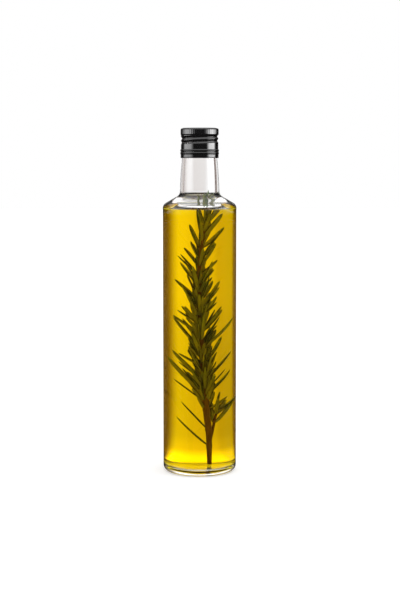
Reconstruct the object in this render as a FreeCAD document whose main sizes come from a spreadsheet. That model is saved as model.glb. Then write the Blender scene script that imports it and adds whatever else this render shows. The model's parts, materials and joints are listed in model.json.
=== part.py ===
"""Tall 500 ml oil bottle: a clear glass bottle, the oil in it and a rolled-on aluminium screw cap.

The document holds two sheets. "Sizes" has one plain number for each size that can be set by itself, in
millimetres or pieces. "Places" has the radii, heights and angles that follow from them, by formula. Every
sketch, feature and primitive is bound to a cell of one of the two. The frame is +Z up, with its origin on
the table, in the middle of the ring that the bottle stands on.
"""

import FreeCAD
import Part
import Sketcher

import os

SIZES = {
    # the bottle as a whole
    "bottle_height": 284.5,  # table to lip
    "body_diameter": 61.0,
    "body_wall": 3.3,
    # base
    "heel_round": 5.0,
    "standing_ring": 3.6,  # width of the ring that touches the table
    "punt_flank": 4.5,  # width of the slope between the ring and the roof of the punt
    "punt_rise": 3.2,
    "punt_crown": 0.8,
    "base_wall": 2.0,
    "floor_drop": 1.6,  # the floor falls by this much from its middle to its edge
    "floor_round": 6.0,
    # shoulder
    "shoulder_depth": 61.3,  # corner of the shoulder to lip
    "shoulder_rise": 8.2,  # corner of the shoulder to the foot of the neck
    "shoulder_round": 5.0,
    "shoulder_wall": 6.5,
    "shoulder_inner_round": 18.0,
    # finish: the end of the neck that the cap is rolled on
    "finish_diameter": 28.2,
    "finish_height": 16.0,  # underside of the collar to lip
    "finish_wall": 3.5,
    "collar_proud": 0.9,
    "collar_height": 6.0,
    "collar_round": 0.6,
    "lip_round": 1.2,
    # neck, from the underside of the collar down to the shoulder
    "neck_step": 0.4,  # the top of the neck is this much slimmer than the finish
    "neck_flare": 2.7,  # the foot of the neck is this much wider than its top
    "neck_bow": 400.0,  # radius of the slight outward bow of the neck
    "neck_top_wall": 2.3,
    "neck_foot_wall": 3.5,
    "neck_foot_round": 4.5,
    "neck_inner_round": 6.0,
    # fill
    "headspace": 65.0,  # surface of the oil to lip
    # screw cap
    "cap_clearance": 0.1,
    "cap_skin": 0.3,
    "cap_top": 1.8,  # top sheet with its seal
    "skirt_drop": 6.9,  # underside of the collar to the rim of the cap
    "cap_edge_round": 1.1,
    "knurl_band": 4.3,  # top of the cap to the foot of the knurled roll
    "knurl_proud": 0.3,
    "flute_count": 60,
    "flute_width": 1.0,
    "flute_depth": 0.25,
    "thread_depth": 0.65,  # depth of the two grooves that the rolled thread shows as
    "thread_width": 2.4,
    "thread_pitch": 3.5,
    "thread_margin": 0.2,  # plain band over the collar to the edge of the lower groove
    "skirt_proud": 0.25,
    "bead_proud": 0.6,
    "bead_width": 1.8,
    "bead_pitch": 2.3,
    "bead_rise": 4.0,  # rim of the cap to the middle of the lower bead
    "slit_width": 0.35,
    "bridge_count": 10,
    "bridge_width": 1.6,
}

PLACES = {
    # bottle, outside
    "body_radius": "Sizes.body_diameter / 2",
    "ring_radius": "body_radius - Sizes.heel_round - Sizes.standing_ring",
    "roof_radius": "ring_radius - Sizes.punt_flank",
    "roof_height": "Sizes.punt_rise + Sizes.punt_crown",
    "shoulder_height": "Sizes.bottle_height - Sizes.shoulder_depth",
    "finish_radius": "Sizes.finish_diameter / 2",
    "collar_foot": "Sizes.bottle_height - Sizes.finish_height",
    "collar_head": "collar_foot + Sizes.collar_height",
    "collar_radius": "finish_radius + Sizes.collar_proud",
    "neck_top_radius": "finish_radius - Sizes.neck_step",
    "neck_foot_radius": "neck_top_radius + Sizes.neck_flare",
    "neck_foot_height": "shoulder_height + Sizes.shoulder_rise",
    # bottle, inside
    "bore_radius": "finish_radius - Sizes.finish_wall",
    "cavity_radius": "body_radius - Sizes.body_wall",
    "floor_middle": "roof_height + Sizes.base_wall",
    "floor_edge": "floor_middle - Sizes.floor_drop",
    "slope": "Sizes.shoulder_rise / (body_radius - neck_foot_radius)",
    "shoulder_fall": "Sizes.shoulder_wall * sqrt(1 + slope^2)",
    "cavity_shoulder": "shoulder_height + slope * Sizes.body_wall - shoulder_fall",
    "throat_foot_radius": "neck_foot_radius - Sizes.neck_foot_wall",
    "throat_foot": "neck_foot_height + slope * Sizes.neck_foot_wall - shoulder_fall",
    "throat_top_radius": "neck_top_radius - Sizes.neck_top_wall",
    "oil_level": "Sizes.bottle_height - Sizes.headspace",
    # cap
    "cap_head": "Sizes.bottle_height + Sizes.cap_top",
    "cap_rim": "collar_foot - Sizes.skirt_drop",
    "cap_bore": "collar_radius + Sizes.cap_clearance",
    "cap_throat": "finish_radius + Sizes.cap_clearance",
    "cap_seat": "collar_head + Sizes.cap_clearance",
    "cap_radius": "cap_bore + Sizes.cap_skin",
    "knurl_radius": "cap_radius + Sizes.knurl_proud",
    "knurl_foot": "cap_head - Sizes.knurl_band",
    "flute_radius": "Sizes.flute_width / 2",
    "flute_centre": "knurl_radius + flute_radius - Sizes.flute_depth",
    "thread_radius": "Sizes.thread_width^2 / 8 / Sizes.thread_depth + Sizes.thread_depth / 2",
    "thread_centre": "cap_radius - Sizes.thread_depth + thread_radius",
    "skirt_radius": "cap_radius + Sizes.skirt_proud",
    "lower_groove": "cap_seat + Sizes.thread_margin + Sizes.thread_width / 2",
    "upper_groove": "lower_groove + Sizes.thread_pitch",
    "lower_bead": "cap_rim + Sizes.bead_rise",
    "lower_bead_foot": "lower_bead - Sizes.bead_width / 2",
    "lower_bead_head": "lower_bead + Sizes.bead_width / 2",
    "upper_bead": "lower_bead + Sizes.bead_pitch",
    "upper_bead_foot": "upper_bead - Sizes.bead_width / 2",
    "upper_bead_head": "upper_bead + Sizes.bead_width / 2",
    "bead_radius": "Sizes.bead_width^2 / 8 / Sizes.bead_proud + Sizes.bead_proud / 2",
    "slit_foot": "lower_bead + Sizes.bead_pitch / 2 - Sizes.slit_width / 2",
    "slit_head": "slit_foot + Sizes.slit_width",
    "slit_inside": "cap_bore - Sizes.cap_skin",
    "slit_outside": "skirt_radius + Sizes.bead_proud",
    "slit_angle": "360 / Sizes.bridge_count - Sizes.bridge_width / skirt_radius * 180 / pi",
}

# Sketcher names its level axis, whose first point is the origin, and its upright axis by these numbers,
# and the points of an edge by these.
LEVEL, UPRIGHT = -1, -2
START, END, CENTRE = 1, 2, 3

TOLERANCE = 1e-6  # places closer than this are the same place


def make_sheet(document, name, cells):
    """A spreadsheet with one aliased cell for each entry of ``cells``."""
    sheet = document.addObject("Spreadsheet::Sheet", name)
    for row, (alias, content) in enumerate(cells.items(), start=1):
        sheet.set(f"A{row}", alias.replace("_", " "))
        sheet.set(f"B{row}", content)
        sheet.setAlias(f"B{row}", alias)
    document.recompute()
    return sheet


def cell(alias):
    """The name by which an expression reads a cell of either sheet."""
    return f"Sizes.{alias}" if alias in SIZES else f"Places.{alias}"


def value(document, alias):
    """The number that a cell of either sheet holds, or 0 for None, the upright axis or the table."""
    if alias is None:
        return 0.0
    sheet_name, _, cell_name = cell(alias).partition(".")
    return float(getattr(document.getObject(sheet_name), cell_name))


def origin_plane(body, role):
    """One of the body's own origin planes, by its role."""
    return next(plane for plane in body.Origin.OriginFeatures if plane.Role == role)


def add_body(document, name):
    """An empty PartDesign body whose label is its name."""
    body = document.addObject("PartDesign::Body", name)
    body.Label = name
    return body


def add_sketch(body, name, plane_role):
    """An empty sketch on one of the body's own origin planes."""
    sketch = body.newObject("Sketcher::SketchObject", name)
    sketch.AttachmentSupport = (origin_plane(body, plane_role), [""])
    sketch.MapMode = "FlatFace"
    return sketch


def bind_point(sketch, edge, point, across, upward):
    """Tie a point of a sketch to two cells, its distances from the origin, where None means on the axis."""
    for alias, kind, axis in ((across, "DistanceX", UPRIGHT), (upward, "DistanceY", LEVEL)):
        if alias is None:
            sketch.addConstraint(Sketcher.Constraint("PointOnObject", edge, point, axis))
            continue
        distance = value(sketch.Document, alias)
        rule = Sketcher.Constraint(kind, LEVEL, START, edge, point, distance)
        sketch.setExpression(f"Constraints[{sketch.addConstraint(rule)}]", cell(alias))


def bind_radius(sketch, edge, alias):
    """Tie the radius of an arc or circle of a sketch to a cell."""
    rule = Sketcher.Constraint("Radius", edge, value(sketch.Document, alias))
    sketch.setExpression(f"Constraints[{sketch.addConstraint(rule)}]", cell(alias))


def draw_circle(sketch, radius, across, upward):
    """Draw a circle whose radius and centre are tied to cells, where None means on the axis."""
    document = sketch.Document
    centre = FreeCAD.Vector(value(document, across), value(document, upward), 0.0)
    circle = Part.Circle(centre, FreeCAD.Vector(0, 0, 1), value(document, radius))
    edge = sketch.addGeometry(circle, False)
    bind_point(sketch, edge, CENTRE, across, upward)
    bind_radius(sketch, edge, radius)
    document.recompute()


def draw_outline(sketch, corners, bows=None):
    """Draw a closed outline through ``corners``, each a pair of cells: radius and height.

    The outline runs anticlockwise. ``bows`` maps the number of an edge, counted from its first corner, to
    the cell with the radius of the arc that stands in its place and bows outward.
    """
    document = sketch.Document
    bows = bows or {}
    points = [FreeCAD.Vector(*(value(document, alias) for alias in corner), 0.0) for corner in corners]
    for number, (first, second) in enumerate(zip(points, points[1:] + points[:1])):
        if number not in bows:
            sketch.addGeometry(Part.LineSegment(first, second), False)
            continue
        radius = value(document, bows[number])
        half = (second - first) / 2
        rise = radius - (radius**2 - half.Length**2) ** 0.5
        outward = FreeCAD.Vector(half.y, -half.x, 0.0).normalize()
        sketch.addGeometry(Part.Arc(first, first + half + outward * rise, second), False)
    for number, corner in enumerate(corners):
        following = (number + 1) % len(corners)
        sketch.addConstraint(Sketcher.Constraint("Coincident", number, END, following, START))
        bind_point(sketch, number, START, *corner)
    for number, alias in bows.items():
        bind_radius(sketch, number, alias)
    document.recompute()


def turn(body, kind, name, sketch, angle=None):
    """Revolve a sketch of the XZ plane about the upright axis: kind is Revolution or Groove."""
    before = body.Shape.Volume if kind == "Groove" else 0.0
    feature = body.newObject(f"PartDesign::{kind}", name)
    feature.Profile = sketch
    feature.ReferenceAxis = (sketch, ["V_Axis"])
    if angle:
        feature.Midplane = True
        feature.setExpression("Angle", cell(angle))
    body.Document.recompute()
    if kind == "Groove" and not feature.Shape.Volume < before:
        raise ValueError(f"{name} cuts nothing")
    return feature


def repeat_around(body, name, feature, count):
    """Repeat a feature of a body around the upright axis, as many times as the cell ``count`` says."""
    pattern = body.newObject("PartDesign::PolarPattern", name)
    pattern.Originals = [feature]
    pattern.Axis = (next(axis for axis in body.Origin.OriginFeatures if axis.Role == "Z_Axis"), [""])
    pattern.Angle = 360
    pattern.setExpression("Occurrences", cell(count))
    body.Tip = pattern
    body.Document.recompute()
    return pattern


def ring_names(shape, document, radius, height):
    """The names of the level, circular edges of a shape that have one radius and one height."""
    wanted_radius, wanted_height = value(document, radius), value(document, height)
    names = [
        f"Edge{number}"
        for number, edge in enumerate(shape.Edges, start=1)
        if isinstance(edge.Curve, Part.Circle)
        and abs(edge.Curve.Radius - wanted_radius) < TOLERANCE
        and abs(edge.Curve.Center.z - wanted_height) < TOLERANCE
    ]
    if not names:
        raise ValueError(f"no edge at {radius}, {height}")
    return names


def round_rings(body, name, radius, rings):
    """Round the circular edges at each of ``rings``, pairs of radius and height cells, by one cell."""
    document = body.Document
    base = body.Tip
    edges = [edge for ring in rings for edge in ring_names(base.Shape, document, *ring)]
    fillet = body.newObject("PartDesign::Fillet", name)
    fillet.Base = (base, edges)
    fillet.setExpression("Radius", cell(radius))
    document.recompute()
    return fillet


def make_glass_form(document):
    """The outside of the bottle as a solid block of glass, with the punt under its base."""
    body = add_body(document, "glass_form")
    outline = add_sketch(body, "glass_outline", "XZ_Plane")
    corners = [
        (None, None),
        ("body_radius", None),
        ("body_radius", "shoulder_height"),
        ("neck_foot_radius", "neck_foot_height"),
        ("neck_top_radius", "collar_foot"),
        ("collar_radius", "collar_foot"),
        ("collar_radius", "collar_head"),
        ("finish_radius", "collar_head"),
        ("finish_radius", "bottle_height"),
        (None, "bottle_height"),
    ]
    draw_outline(outline, corners, bows={3: "neck_bow"})
    turn(body, "Revolution", "glass_block", outline)
    round_rings(body, "heel", "heel_round", [("body_radius", None)])
    round_rings(body, "shoulder", "shoulder_round", [("body_radius", "shoulder_height")])
    round_rings(body, "neck_foot", "neck_foot_round", [("neck_foot_radius", "neck_foot_height")])
    round_rings(
        body,
        "collar",
        "collar_round",
        [("collar_radius", "collar_foot"), ("collar_radius", "collar_head")],
    )
    round_rings(body, "lip", "lip_round", [("finish_radius", "bottle_height")])
    punt = add_sketch(body, "punt_outline", "XZ_Plane")
    corners = [
        (None, None),
        ("ring_radius", None),
        ("roof_radius", "punt_rise"),
        (None, "roof_height"),
    ]
    draw_outline(punt, corners)
    turn(body, "Groove", "punt", punt)
    return body


def make_cavity(document):
    """The room inside the bottle as a solid, from its floor to the plane of the lip."""
    body = add_body(document, "cavity")
    outline = add_sketch(body, "cavity_outline", "XZ_Plane")
    corners = [
        (None, "floor_middle"),
        ("cavity_radius", "floor_edge"),
        ("cavity_radius", "cavity_shoulder"),
        ("throat_foot_radius", "throat_foot"),
        ("throat_top_radius", "collar_foot"),
        ("bore_radius", "collar_head"),
        ("bore_radius", "bottle_height"),
        (None, "bottle_height"),
    ]
    draw_outline(outline, corners, bows={3: "neck_bow"})
    turn(body, "Revolution", "cavity_block", outline)
    round_rings(body, "floor_edge_round", "floor_round", [("cavity_radius", "floor_edge")])
    round_rings(body, "shoulder_inside", "shoulder_inner_round", [("cavity_radius", "cavity_shoulder")])
    round_rings(body, "throat", "neck_inner_round", [("throat_foot_radius", "throat_foot")])
    return body


def make_bottle(document, glass_form, cavity):
    """The glass bottle: its outer form less the room inside it."""
    bottle = document.addObject("Part::Cut", "glass_bottle")
    bottle.Label = "glass_bottle"
    bottle.Base = glass_form
    bottle.Tool = cavity
    return bottle


def make_oil(document, cavity):
    """The oil: the room inside the bottle, up to the surface of the oil."""
    drum = document.addObject("Part::Cylinder", "oil_drum")
    drum.setExpression("Radius", cell("body_radius"))
    drum.setExpression("Height", cell("oil_level"))
    oil = document.addObject("Part::Common", "oil")
    oil.Label = "oil"
    oil.Base = cavity
    oil.Tool = drum
    return oil


def make_cap(document):
    """The rolled-on cap: a thin shell with a knurled roll, thread grooves, two beads and a tear line."""
    body = add_body(document, "screw_cap")
    outline = add_sketch(body, "cap_outline", "XZ_Plane")
    corners = [
        ("cap_bore", "cap_rim"),
        ("skirt_radius", "cap_rim"),
        ("skirt_radius", "upper_bead"),
        ("cap_radius", "upper_bead"),
        ("cap_radius", "knurl_foot"),
        ("knurl_radius", "knurl_foot"),
        ("knurl_radius", "cap_head"),
        (None, "cap_head"),
        (None, "bottle_height"),
        ("cap_throat", "bottle_height"),
        ("cap_throat", "cap_seat"),
        ("cap_bore", "cap_seat"),
    ]
    draw_outline(outline, corners)
    turn(body, "Revolution", "cap_shell", outline)
    round_rings(body, "cap_edge", "cap_edge_round", [("knurl_radius", "cap_head")])
    for name in ("lower_bead", "upper_bead"):
        bead = add_sketch(body, f"{name}_outline", "XZ_Plane")
        draw_outline(
            bead,
            [("cap_radius", f"{name}_foot"), ("cap_radius", f"{name}_head")],
            bows={0: "bead_radius"},
        )
        turn(body, "Revolution", f"{name}_roll", bead)
    for name in ("upper_groove", "lower_groove"):
        groove = add_sketch(body, f"{name}_outline", "XZ_Plane")
        draw_circle(groove, "thread_radius", "thread_centre", name)
        turn(body, "Groove", f"{name}_roll", groove)
    slit = add_sketch(body, "slit_outline", "XZ_Plane")
    corners = [
        ("slit_inside", "slit_foot"),
        ("slit_outside", "slit_foot"),
        ("slit_outside", "slit_head"),
        ("slit_inside", "slit_head"),
    ]
    draw_outline(slit, corners)
    first_slit = turn(body, "Groove", "first_slit", slit, angle="slit_angle")
    repeat_around(body, "tear_line", first_slit, "bridge_count")
    flute = add_sketch(body, "flute_outline", "XY_Plane")
    flute.setExpression("AttachmentOffset.Base.z", cell("cap_head"))
    draw_circle(flute, "flute_radius", "flute_centre", None)
    before = body.Shape.Volume
    first_flute = body.newObject("PartDesign::Pocket", "first_flute")
    first_flute.Profile = flute
    first_flute.setExpression("Length", cell("knurl_band"))
    document.recompute()
    if not first_flute.Shape.Volume < before:
        raise ValueError("the flute cuts nothing")
    repeat_around(body, "knurl", first_flute, "flute_count")
    return body


def write_parts(document, parts):
    """Write each part to its own STEP file, once nothing in the document is in error."""
    document.recompute()
    for item in document.Objects:
        if {"Invalid", "Error"} & set(item.State):
            raise ValueError(f"{item.Name}: {item.State}")
    os.makedirs("parts", exist_ok=True)
    for part in parts:
        if part.Shape.isNull() or not part.Shape.isValid():
            raise ValueError(f"{part.Label} has no valid shape")
        part.Shape.exportStep(f"parts/{part.Label}.step")
        box = part.Shape.BoundBox
        print(f"{part.Label}: {len(part.Shape.Solids)} solid, {part.Shape.Volume / 1000:.2f} ml,")
        print(f"    {box.XLength:.2f} x {box.YLength:.2f} x {box.ZLength:.2f} mm from {box.ZMin:.2f}")


def main():
    """Build the document and write its parts."""
    document = FreeCAD.newDocument("oil_bottle")
    make_sheet(document, "Sizes", {alias: str(size) for alias, size in SIZES.items()})
    make_sheet(document, "Places", {alias: f"={formula}" for alias, formula in PLACES.items()})
    cavity = make_cavity(document)
    bottle = make_bottle(document, make_glass_form(document), cavity)
    write_parts(document, [bottle, make_oil(document, cavity), make_cap(document)])


main()
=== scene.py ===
"""Tall bottle of golden oil with a sprig of rosemary and a black rolled-on cap, dressed in Blender.

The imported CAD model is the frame. The bottle, the oil and the cap each get a finer mesh that stands for
their solid, and the sprig and the studio are made here. Blender's units are metres, with +Z up and the
origin on the table, in the middle of the ring that the bottle stands on. The sizes of the bottle, the cap
and the sprig are given in millimetres.
"""

from __future__ import annotations

import functools
import json
import logging
import math
import random
from dataclasses import dataclass
from enum import Enum
from typing import Callable, Sequence

import bpy
from mathutils import Matrix, Vector

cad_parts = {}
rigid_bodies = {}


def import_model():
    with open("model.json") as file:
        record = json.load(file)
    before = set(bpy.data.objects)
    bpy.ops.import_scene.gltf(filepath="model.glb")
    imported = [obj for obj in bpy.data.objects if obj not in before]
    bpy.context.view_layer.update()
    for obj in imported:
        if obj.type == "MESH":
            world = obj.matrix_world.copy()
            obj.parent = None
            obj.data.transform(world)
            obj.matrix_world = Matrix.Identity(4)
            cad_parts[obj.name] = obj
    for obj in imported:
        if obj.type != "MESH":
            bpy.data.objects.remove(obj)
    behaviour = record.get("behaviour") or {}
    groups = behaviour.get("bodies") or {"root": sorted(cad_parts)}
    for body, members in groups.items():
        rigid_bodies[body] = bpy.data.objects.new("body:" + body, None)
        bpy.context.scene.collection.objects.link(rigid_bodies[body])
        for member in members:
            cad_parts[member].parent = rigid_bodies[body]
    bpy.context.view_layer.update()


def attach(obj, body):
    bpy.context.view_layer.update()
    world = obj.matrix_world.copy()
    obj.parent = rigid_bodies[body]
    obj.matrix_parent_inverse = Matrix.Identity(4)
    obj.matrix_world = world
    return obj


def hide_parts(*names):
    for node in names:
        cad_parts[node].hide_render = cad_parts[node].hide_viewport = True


MM = 0.001
BODY = "root"
COARSEST_TURN = 0.13  # the most that one step of an arc turns, in radians
ARC_FINENESS = 0.45  # a step of a larger arc turns this much, divided by its radius in millimetres
ON_AXIS = 1e-7  # a point nearer to the axis than this, in metres, lies on it
NODE_SPACING = 220  # how far apart the nodes of a tree are drawn

Point = tuple[float, float]
Place = tuple[float, float, float]
Face = tuple[int, ...]
Colour = tuple[float, float, float, float]
ColourPair = tuple[Colour, Colour]
Term = bpy.types.NodeSocket | float | tuple[float, ...] | bpy.types.ID
Relief = Callable[[float, float, float], Point]

log = logging.getLogger("oil_bottle")


# ---------------------------------------------------------------------------------------------------
# Outlines and turned meshes
# ---------------------------------------------------------------------------------------------------


@dataclass(frozen=True)
class Corner:
    """A corner of an outline, in millimetres, with the radius that rounds it off."""

    across: float
    up: float
    round: float = 0.0


def rounded_outline(corners: Sequence[Corner]) -> list[Point]:
    """An open outline through corners, with each one rounded by its own arc.

    Args:
        corners: The corners, from the first end to the last.

    Returns:
        Points in metres as (radius, height).
    """
    points: list[Point] = []
    for index, corner in enumerate(corners):
        here = Vector((corner.across, corner.up))
        if corner.round <= 0.0 or index in (0, len(corners) - 1):
            points.append((here.x * MM, here.y * MM))
            continue
        before = Vector((corners[index - 1].across, corners[index - 1].up)) - here
        after = Vector((corners[index + 1].across, corners[index + 1].up)) - here
        before.normalize()
        after.normalize()
        opening = before.angle(after)
        reach = corner.round / math.tan(opening / 2)
        middle = here + (before + after).normalized() * (corner.round / math.sin(opening / 2))
        start = here + before * reach - middle
        turn = math.pi - opening
        side = -1.0 if before.x * after.y - before.y * after.x > 0 else 1.0
        count = max(2, math.ceil(turn / min(COARSEST_TURN, ARC_FINENESS / corner.round)))
        for step in range(count + 1):
            swing = side * turn * step / count
            spoke = Vector(
                (
                    start.x * math.cos(swing) - start.y * math.sin(swing),
                    start.x * math.sin(swing) + start.y * math.cos(swing),
                )
            )
            points.append(((middle.x + spoke.x) * MM, (middle.y + spoke.y) * MM))
    return points


def bowed(start: Point, end: Point, radius: float, count: int) -> list[Corner]:
    """Corners along a shallow arc that bows outward between two points.

    Args:
        start: First end, in millimetres, which is left out of the result.
        end: Last end, in millimetres, which is left out too.
        radius: Radius of the arc, in millimetres.
        count: Number of corners to put between the ends.

    Returns:
        The corners between the ends.
    """
    first, last = Vector(start), Vector(end)
    way = last - first
    outward = Vector((way.y, -way.x)).normalized()
    half = way.length / 2
    corners = []
    for step in range(1, count + 1):
        share = step / (count + 1)
        along = (share - 0.5) * way.length
        rise = math.sqrt(radius**2 - along**2) - math.sqrt(radius**2 - half**2)
        spot = first + way * share + outward * rise
        corners.append(Corner(spot.x, spot.y))
    return corners


def spread_points(points: Sequence[Point], longest: float) -> list[Point]:
    """Add points so that no step of an outline is longer than a limit.

    Args:
        points: The outline, in metres.
        longest: The longest step, in metres.

    Returns:
        The outline with the added points.
    """
    spread = [points[0]]
    for (r_a, z_a), (r_b, z_b) in zip(points, points[1:]):
        count = max(1, math.ceil(math.hypot(r_b - r_a, z_b - z_a) / longest))
        spread += [
            (r_a + (r_b - r_a) * step / count, z_a + (z_b - z_a) * step / count)
            for step in range(1, count + 1)
        ]
    return spread


def turned_mesh(
    name: str, outline: Sequence[Point], segments: int, relief: Relief | None = None
) -> bpy.types.Object:
    """Turn an outline about the upright axis into a closed mesh.

    Args:
        name: Name of the new object.
        outline: Points as (radius, height) in metres, from the axis or back to the first point, run so
            that the solid lies on the left of the way.
        segments: Number of columns round the axis.
        relief: Moves a point, given its angle, radius and height, to a new radius and height.

    Returns:
        The object, at the origin, with smooth faces.
    """
    vertices: list[Place] = []
    rings: list[list[int]] = []
    for radius, height in outline:
        if radius < ON_AXIS:
            vertices.append((0.0, 0.0, height))
            rings.append([len(vertices) - 1] * segments)
            continue
        ring = []
        for column in range(segments):
            angle = math.tau * column / segments
            spot = relief(angle, radius, height) if relief else (radius, height)
            vertices.append((spot[0] * math.cos(angle), spot[0] * math.sin(angle), spot[1]))
            ring.append(len(vertices) - 1)
        rings.append(ring)
    open_ended = max(outline[0][0], outline[-1][0]) < ON_AXIS
    pairs = list(zip(rings, rings[1:])) + ([] if open_ended else [(rings[-1], rings[0])])
    faces = []
    for low, high in pairs:
        for column in range(segments):
            beside = (column + 1) % segments
            corners = [low[column], low[beside], high[beside], high[column]]
            face = [corner for i, corner in enumerate(corners) if corner != corners[i - 1]]
            faces.append(face)
    return mesh_object(name, vertices, faces)


def mesh_object(
    name: str, vertices: Sequence[Sequence[float]], faces: Sequence[Sequence[int]]
) -> bpy.types.Object:
    """Make an object of a smooth mesh and put it in the scene.

    Args:
        name: Name of the object and of its mesh.
        vertices: Places in metres.
        faces: Corner numbers, anticlockwise from outside.

    Returns:
        The object, at the origin.
    """
    mesh = bpy.data.meshes.new(name)
    mesh.from_pydata(vertices, [], faces)
    mesh.validate()
    mesh.polygons.foreach_set("use_smooth", [True] * len(mesh.polygons))
    mesh.update()
    thing = bpy.data.objects.new(name, mesh)
    bpy.context.scene.collection.objects.link(thing)
    return thing


# ---------------------------------------------------------------------------------------------------
# Materials
# ---------------------------------------------------------------------------------------------------


class NodeSheet:
    """A node tree that is filled in from left to right."""

    def __init__(self, tree: bpy.types.NodeTree) -> None:
        """Empty a tree and start its layout."""
        self.tree = tree
        tree.nodes.clear()

    def add(
        self, kind: str, feeds: dict[str | int, Term] | None = None, **settings: object
    ) -> bpy.types.Node:
        """Add a node, set its fields and feed its inputs.

        Args:
            kind: The node's type name.
            feeds: Links or values for its inputs, by name or number.
            settings: Fields of the node by name.

        Returns:
            The node.
        """
        node = self.tree.nodes.new(kind)
        for name, content in settings.items():
            setattr(node, name, content)
        node.location = (NODE_SPACING * len(self.tree.nodes), 0)
        for title, term in (feeds or {}).items():
            self.feed(node.inputs[title], term)
        return node

    def join(self, output: bpy.types.NodeSocket, entry: bpy.types.NodeSocket) -> None:
        """Link an output socket to an input socket."""
        self.tree.links.new(output, entry)

    def feed(self, entry: bpy.types.NodeSocket, term: Term) -> None:
        """Give an input socket a link or a plain value.

        Args:
            entry: The input socket.
            term: Another node's output, or the value itself.
        """
        if isinstance(term, bpy.types.NodeSocket):
            self.join(term, entry)
        else:
            entry.default_value = term

    def reckon(self, operation: str, *terms: Term) -> bpy.types.NodeSocket:
        """The output of a Math node, given its operation and its inputs in order."""
        return self.add("ShaderNodeMath", dict(enumerate(terms)), operation=operation).outputs[0]

    def times(self, *terms: Term) -> bpy.types.NodeSocket:
        """The product of two or more terms."""
        return functools.reduce(lambda first, second: self.reckon("MULTIPLY", first, second), terms)

    def shifted(self, term: Term, factor: Term, shift: Term) -> bpy.types.NodeSocket:
        """A term times a factor, plus a shift."""
        return self.reckon("MULTIPLY_ADD", term, factor, shift)

    def place(self) -> bpy.types.NodeSocket:
        """The place on the object, in its own coordinates."""
        return self.add("ShaderNodeTexCoord").outputs["Object"]

    def parts(self, vector: bpy.types.NodeSocket) -> bpy.types.NodeOutputs:
        """The three parts of a vector."""
        return self.add("ShaderNodeSeparateXYZ", {0: vector}).outputs

    def mark(self, name: str) -> bpy.types.NodeSocket:
        """The value that the mesh holds under a name."""
        return self.add("ShaderNodeAttribute", attribute_name=name).outputs["Fac"]

    def noise(self, place: bpy.types.NodeSocket, scale: float, detail: float = 2.0) -> bpy.types.NodeSocket:
        """A noise from 0 to 1 at a place, given its grains in a metre and its finer layers."""
        feeds = {"Vector": place, "Scale": scale, "Detail": detail}
        return self.add("ShaderNodeTexNoise", feeds).outputs[0]

    def principled(self, **terms: Term) -> bpy.types.Node:
        """A Principled shader with links or values by input name, where _ stands for a space."""
        return self.add("ShaderNodeBsdfPrincipled", spaced(terms))

    def grain(self, height: bpy.types.NodeSocket, strength: float, depth: float) -> bpy.types.NodeSocket:
        """A normal bent by a height, given how much it shows and its largest depth in metres."""
        feeds = {"Strength": strength, "Distance": depth, "Height": height}
        return self.add("ShaderNodeBump", feeds).outputs[0]

    def show(self, shader: bpy.types.NodeSocket) -> bpy.types.Node:
        """Make a shader the material's surface, and give the output node."""
        return self.add("ShaderNodeOutputMaterial", {"Surface": shader})

    def ease(self, term: Term, start: float, end: float) -> bpy.types.NodeSocket:
        """A smooth step that rises from 0 at one value to 1 at another.

        Args:
            term: What is measured.
            start: Where the step is 0.
            end: Where it is 1, which may be the lower of the two.

        Returns:
            The step.
        """
        low, high = (0.0, 1.0) if start < end else (1.0, 0.0)
        feeds = {"Value": term, "From Min": min(start, end), "From Max": max(start, end)}
        feeds |= {"To Min": low, "To Max": high}
        return self.add("ShaderNodeMapRange", feeds, interpolation_type="SMOOTHSTEP").outputs[0]

    def blend(self, share: Term, first: Term, second: Term) -> bpy.types.NodeSocket:
        """The mix of two colours, given the share of the second."""
        # A Mix node has a set of sockets for each type: 6 and 7 are its colours, and output 2 their mix.
        return self.add("ShaderNodeMix", {0: share, 6: first, 7: second}, data_type="RGBA").outputs[2]

    def ramp(self, share: Term, stops: Sequence[Point]) -> bpy.types.NodeSocket:
        """A brightness that follows straight steps between stops.

        Args:
            share: What is measured, from 0 to 1.
            stops: Pairs of place and brightness.

        Returns:
            The brightness.
        """
        node = self.add("ShaderNodeValToRGB")
        marks = node.color_ramp.elements
        while len(marks) < len(stops):
            marks.new(1.0)
        for mark, (place, level) in zip(marks, stops):
            mark.position = place
            mark.color = grey(level)
        self.feed(node.inputs[0], share)
        return node.outputs[0]


def spaced(terms: dict[str, Term]) -> dict[str, Term]:
    """Terms by name, with each _ of a name made a space."""
    return {title.replace("_", " "): term for title, term in terms.items()}


def grey(level: float) -> Colour:
    """A colour of one brightness."""
    return (level, level, level, 1.0)


def new_material(name: str) -> tuple[bpy.types.Material, NodeSheet]:
    """Start a node material.

    Args:
        name: Its name.

    Returns:
        The material, with no nodes, and the sheet of its tree.
    """
    material = bpy.data.materials.new(name)
    material.use_nodes = True
    return material, NodeSheet(material.node_tree)


class SharedEffect:
    """A shader node group that materials share."""

    def __init__(self, name: str, inputs: dict[str, str], outputs: dict[str, str]) -> None:
        """Start the group.

        Args:
            name: Its name.
            inputs: Socket kinds by input name.
            outputs: Socket kinds by output name.
        """
        self.tree = bpy.data.node_groups.new(name, "ShaderNodeTree")
        self.sheet = NodeSheet(self.tree)
        for title, kind in inputs.items():
            self.tree.interface.new_socket(title, in_out="INPUT", socket_type=kind)
        for title, kind in outputs.items():
            self.tree.interface.new_socket(title, in_out="OUTPUT", socket_type=kind)
        self.entry = self.sheet.add("NodeGroupInput")
        self.result = self.sheet.add("NodeGroupOutput")

    def place(self, sheet: NodeSheet, **terms: Term) -> bpy.types.Node:
        """Put the group in a tree, with links or values by input name, where _ stands for a space."""
        return sheet.add("ShaderNodeGroup", spaced(terms), node_tree=self.tree)


class Skin(Enum):
    """How the surface of a clear medium meets what is round it."""

    BARE = "bare"
    WETTED = "wetted"
    WETTED_BELOW = "wetted_below"


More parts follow.
